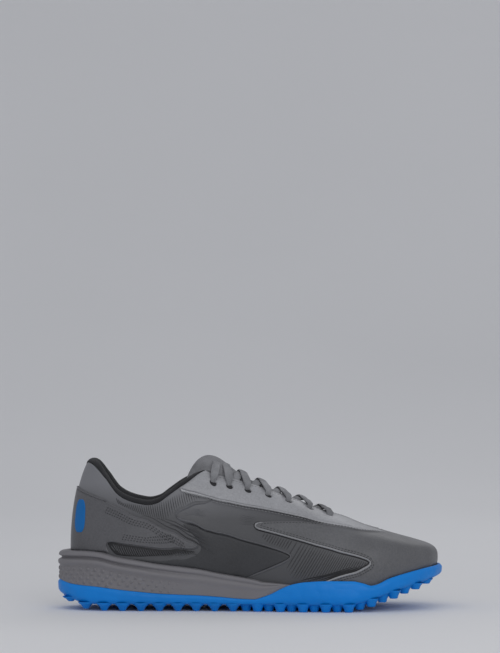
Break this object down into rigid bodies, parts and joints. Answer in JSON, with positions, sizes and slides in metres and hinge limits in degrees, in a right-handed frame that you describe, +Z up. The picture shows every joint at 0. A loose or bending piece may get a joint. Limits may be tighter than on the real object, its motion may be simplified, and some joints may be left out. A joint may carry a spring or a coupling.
{
  "type": "turf shoe",
  "caption": "Low-cut turf football shoe, right foot, with a studded blue rubber outsole, grey upper and flat crossed lace.",
  "frame": {"origin": "bottom centre of the whole shoe, on the floor", "axes": "+X from heel to toe, +Z up, the outer side of the foot at -Y"},
  "size_m": [0.2898, 0.1004, 0.112],
  "materials": {
    "upper_grey": "matte ribbed synthetic leather",
    "overlay_grey": "smooth satin synthetic leather",
    "midsole_grey": "matte moulded foam",
    "outsole_blue": "satin rubber",
    "lining_black": "matte textile",
    "lace_grey": "flat woven lace"
  },
  "bodies": {
    "root": {"outsole": "outsole_blue", "midsole": "midsole_grey", "insole": "lining_black", "upper": "upper_grey", "tongue": "lining_black", "collar_lining": "lining_black", "heel_counter": "overlay_grey", "eyestay_lateral": "overlay_grey", "eyestay_medial": "overlay_grey", "vamp": "overlay_grey", "laces": "lace_grey"}
  },
  "joints": []
}
